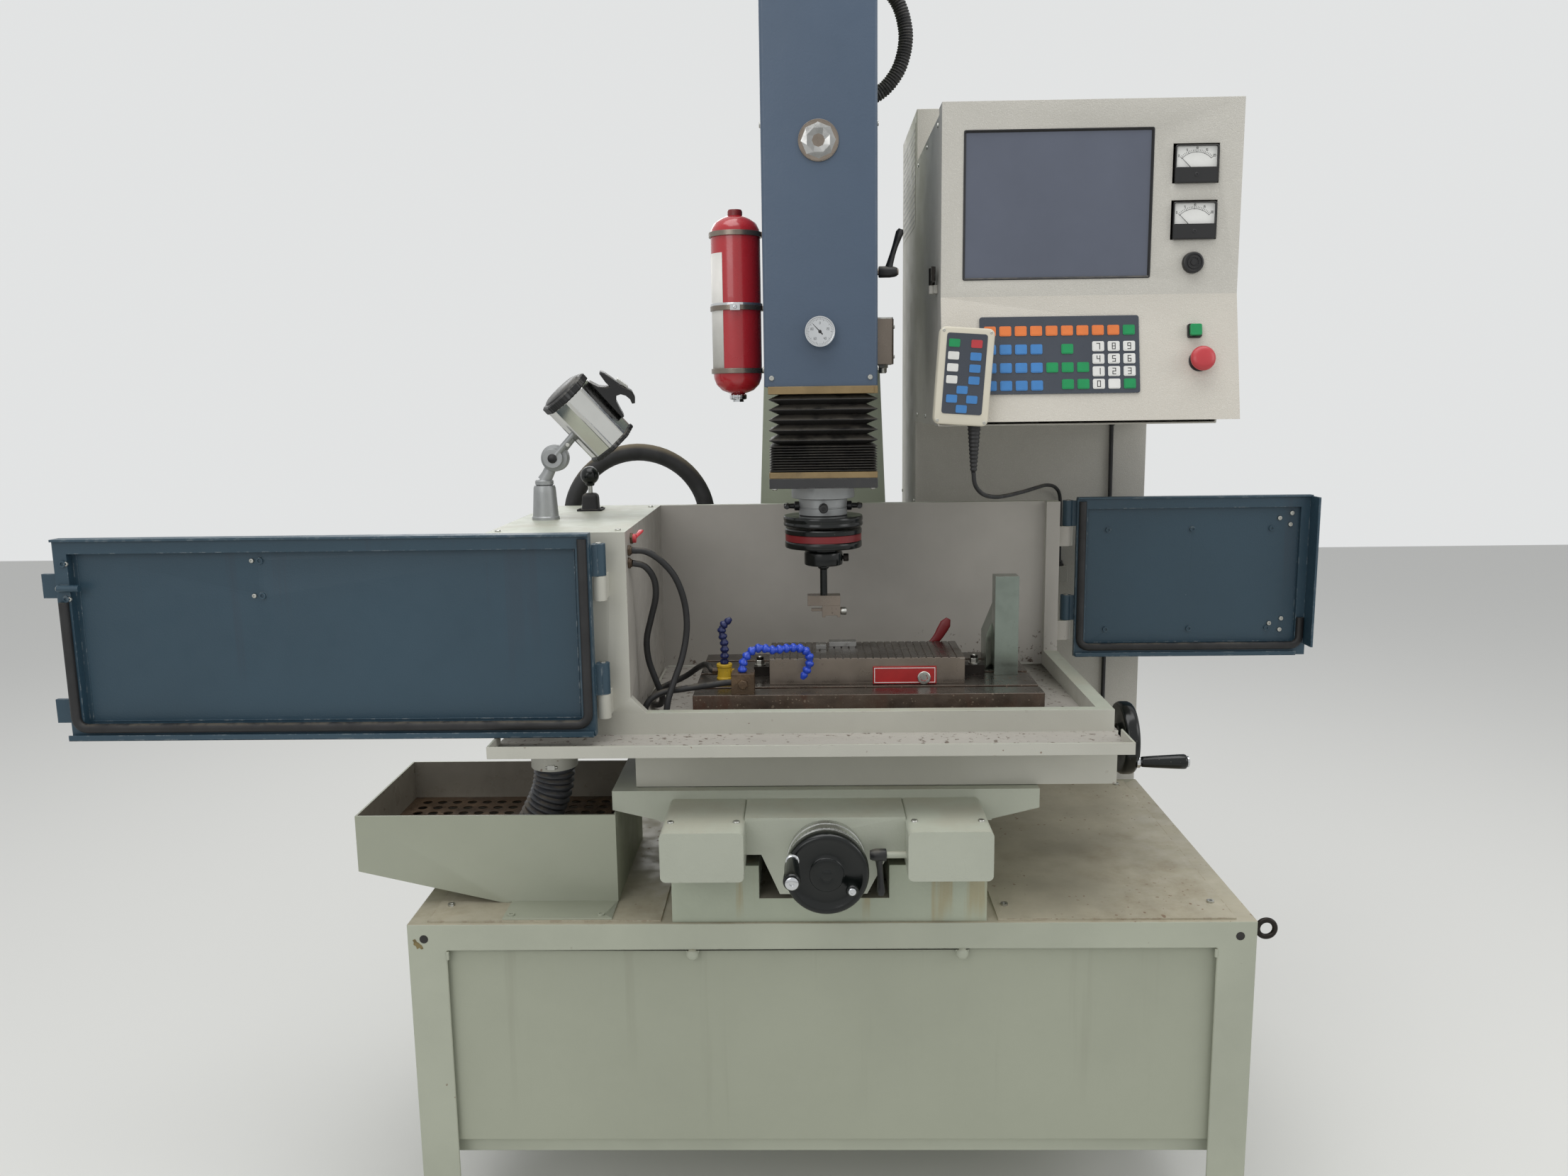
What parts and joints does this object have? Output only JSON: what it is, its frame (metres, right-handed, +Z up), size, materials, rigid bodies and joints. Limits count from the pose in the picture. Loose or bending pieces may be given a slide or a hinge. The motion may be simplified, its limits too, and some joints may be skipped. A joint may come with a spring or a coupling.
{
  "type": "die sinking edm machine",
  "caption": "Die sinking spark erosion machine: cross slide table in an open work tank with hinged doors, ram head on a column, and a control cabinet beside it.",
  "frame": {"origin": "middle of the bounding box's underside, on the floor, with the work tank's doors open as at rest", "axes": "+Z up, +X to the operator's right, +Y from the operator to the back"},
  "size_m": [2.054, 1.176, 2.12],
  "materials": {
    "paint_grey": "satin machine paint with oil marks",
    "paint_blue": "hammered slate blue paint",
    "console_grey": "fine textured powder coat",
    "black_paint": "gloss black enamel",
    "steel": "ground and worn",
    "cast_table": "oily with rust bloom",
    "black_rubber": "matt",
    "black_plastic": "moulded",
    "cream_plastic": "moulded",
    "red_plastic": "moulded",
    "green_plastic": "moulded",
    "blue_plastic": "moulded",
    "red_paint": "gloss enamel",
    "screen_glass": "dark",
    "grey_hose": "ribbed"
  },
  "bodies": {
    "machine": {"base_frame": "paint_grey", "levelling_feet": "black_paint", "oil_reservoir": "paint_grey", "deck_covers": "paint_grey", "bed": "paint_grey", "column": "paint_grey", "head_cover": "paint_blue", "dial_indicator": "steel", "head_fittings": "steel", "conduit": "black_plastic", "extinguisher": "red_paint", "cabinet_body": "console_grey", "pendant_cord": "black_plastic", "cabinet_cable": "black_plastic", "drain_tray": "paint_grey", "drain_screen": "steel", "z_drive": "black_paint"},
    "saddle": {"saddle": "paint_grey"},
    "table": {"table": "cast_table", "tank": "paint_grey", "drain_hose": "grey_hose", "lamp_base": "black_plastic", "magnetic_chuck": "steel", "table_fittings": "steel", "flushing_set": "blue_plastic", "hose_a": "black_rubber", "hose_b": "black_rubber", "hose_c": "black_rubber", "supply_hose": "black_plastic"},
    "ram": {"z_ram": "black_paint", "bellows": "black_rubber", "electrode_holder": "cream_plastic"},
    "console_door": {"console_door": "console_grey", "screen": "screen_glass", "panel_fittings": "black_plastic", "keypad": "black_plastic", "pendant": "cream_plastic"},
    "front_door": {"front_door": "paint_blue", "front_gasket": "black_rubber"},
    "side_door": {"side_door": "paint_blue", "side_gasket": "black_rubber"},
    "y_wheel": {"y_wheel": "black_paint"},
    "y_grip": {"y_grip": "black_plastic"},
    "y_lever": {"y_lever": "steel"},
    "x_wheel": {"x_wheel": "black_paint"},
    "x_grip": {"x_grip": "black_plastic"},
    "head_lever": {"head_lever": "black_plastic"},
    "dial_needle": {"dial_needle": "black_plastic"},
    "volt_needle": {"volt_needle": "black_plastic"},
    "amp_needle": {"amp_needle": "black_plastic"},
    "green_button": {"green_button": "green_plastic"},
    "stop_button": {"stop_button": "red_plastic"},
    "console_latch": {"console_latch": "steel"},
    "lamp_arm": {"lamp_arm": "black_paint"},
    "lamp_head": {"lamp_head": "paint_grey"},
    "pull_rod": {"pull_rod": "black_plastic"},
    "valve_lever": {"valve_lever": "red_plastic"},
    "chuck_lever": {"chuck_lever": "red_plastic"},
    "electrode_chuck": {"electrode_chuck": "black_plastic"},
    "clamp_screw": {"clamp_screw": "steel"}
  },
  "joints": [
    {"name": "y_slide", "type": "slide", "parent": "machine", "child": "saddle", "axis": [0, 1, 0], "range_m": [-0.05, 0.12]},
    {"name": "x_slide", "type": "slide", "parent": "saddle", "child": "table", "axis": [1, 0, 0], "range_m": [-0.155, 0.07]},
    {"name": "z_slide", "type": "slide", "parent": "machine", "child": "ram", "axis": [0, 0, 1], "range_m": [-0.035, 0.07], "deforming": ["bellows"]},
    {"name": "front_door_swing", "type": "hinge", "parent": "table", "child": "front_door", "pos_m": [-0.209, -0.3695, 0.98], "axis": [0, 0, 1], "range_deg": [0, 180]},
    {"name": "side_door_swing", "type": "hinge", "parent": "table", "child": "side_door", "pos_m": [0.582, 0.125, 0.98], "axis": [0, 0, 1], "range_deg": [-90, 0]},
    {"name": "y_wheel_turn", "type": "hinge", "parent": "saddle", "child": "y_wheel", "pos_m": [0.119, -0.492, 0.666], "axis": [0, 1, 0], "range_deg": [-3700, 8800]},
    {"name": "y_grip_spin", "type": "hinge", "parent": "y_wheel", "child": "y_grip", "pos_m": [0.071, -0.542, 0.688], "axis": [0, 1, 0], "continuous": true},
    {"name": "x_wheel_turn", "type": "hinge", "parent": "table", "child": "x_wheel", "pos_m": [0.613, -0.187, 0.768], "axis": [1, 0, 0], "range_deg": [-11360, 5200]},
    {"name": "x_grip_spin", "type": "hinge", "parent": "x_wheel", "child": "x_grip", "pos_m": [0.663, -0.23208, 0.74051], "axis": [1, 0, 0], "continuous": true},
    {"name": "y_lever_turn", "type": "hinge", "parent": "saddle", "child": "y_lever", "pos_m": [0.193, -0.457, 0.676], "axis": [1, 0, 0], "range_deg": [-60, 10]},
    {"name": "head_lever_turn", "type": "hinge", "parent": "machine", "child": "head_lever", "pos_m": [0.227, -0.132, 1.524], "axis": [1, 0, 0], "range_deg": [-60, 60]},
    {"name": "dial_needle_turn", "type": "hinge", "parent": "machine", "child": "dial_needle", "pos_m": [0.119, -0.216, 1.428], "axis": [0, 1, 0], "continuous": true},
    {"name": "volt_needle_turn", "type": "hinge", "parent": "console_door", "child": "volt_needle", "pos_m": [0.6995, -0.173, 1.66], "axis": [0, 1, 0], "range_deg": [0, 90]},
    {"name": "amp_needle_turn", "type": "hinge", "parent": "console_door", "child": "amp_needle", "pos_m": [0.6995, -0.173, 1.576], "axis": [0, 1, 0], "range_deg": [0, 90]},
    {"name": "green_press", "type": "slide", "parent": "console_door", "child": "green_button", "axis": [0, 0.9794, -0.2019], "range_m": [0, 0.004], "stiffness_N_per_m": 400},
    {"name": "stop_press", "type": "slide", "parent": "console_door", "child": "stop_button", "axis": [0, 0.9794, -0.2019], "range_m": [0, 0.005]},
    {"name": "console_door_swing", "type": "hinge", "parent": "machine", "child": "console_door", "pos_m": [0.777, -0.13, 1.52], "axis": [0, 0, 1], "range_deg": [0, 100]},
    {"name": "latch_turn", "type": "hinge", "parent": "machine", "child": "console_latch", "pos_m": [0.303, -0.097, 1.519], "axis": [0, 0, 1], "range_deg": [-150, 0]},
    {"name": "lamp_swivel", "type": "hinge", "parent": "table", "child": "lamp_arm", "pos_m": [-0.337, -0.132, 1.18], "axis": [0, 0, 1], "range_deg": [-100, 30]},
    {"name": "lamp_elbow", "type": "hinge", "parent": "lamp_arm", "child": "lamp_head", "pos_m": [-0.317, -0.132, 1.235], "axis": [0, 1, 0], "range_deg": [-30, 30]},
    {"name": "rod_pull", "type": "slide", "parent": "table", "child": "pull_rod", "axis": [0, 0, 1], "range_m": [0, 0.03]},
    {"name": "valve_turn", "type": "hinge", "parent": "table", "child": "valve_lever", "pos_m": [-0.169, -0.282, 1.118], "axis": [1, 0, 0], "range_deg": [-90, 0]},
    {"name": "chuck_lever_turn", "type": "hinge", "parent": "table", "child": "chuck_lever", "pos_m": [0.303, -0.082, 0.9], "axis": [0, 1, 0], "range_deg": [-100, 0]},
    {"name": "electrode_turn", "type": "hinge", "parent": "ram", "child": "electrode_chuck", "pos_m": [0.123, -0.118, 1.06], "axis": [0, 0, 1], "continuous": true},
    {"name": "clamp_screw_turn", "type": "hinge", "parent": "electrode_chuck", "child": "clamp_screw", "pos_m": [0.143, -0.118, 0.972], "axis": [1, 0, 0], "continuous": true}
  ],
  "couplings": [
    {"joint": "y_wheel_turn", "follows": "y_slide", "rad_per_m": 1256.6},
    {"joint": "x_wheel_turn", "follows": "x_slide", "rad_per_m": 1256.6}
  ]
}
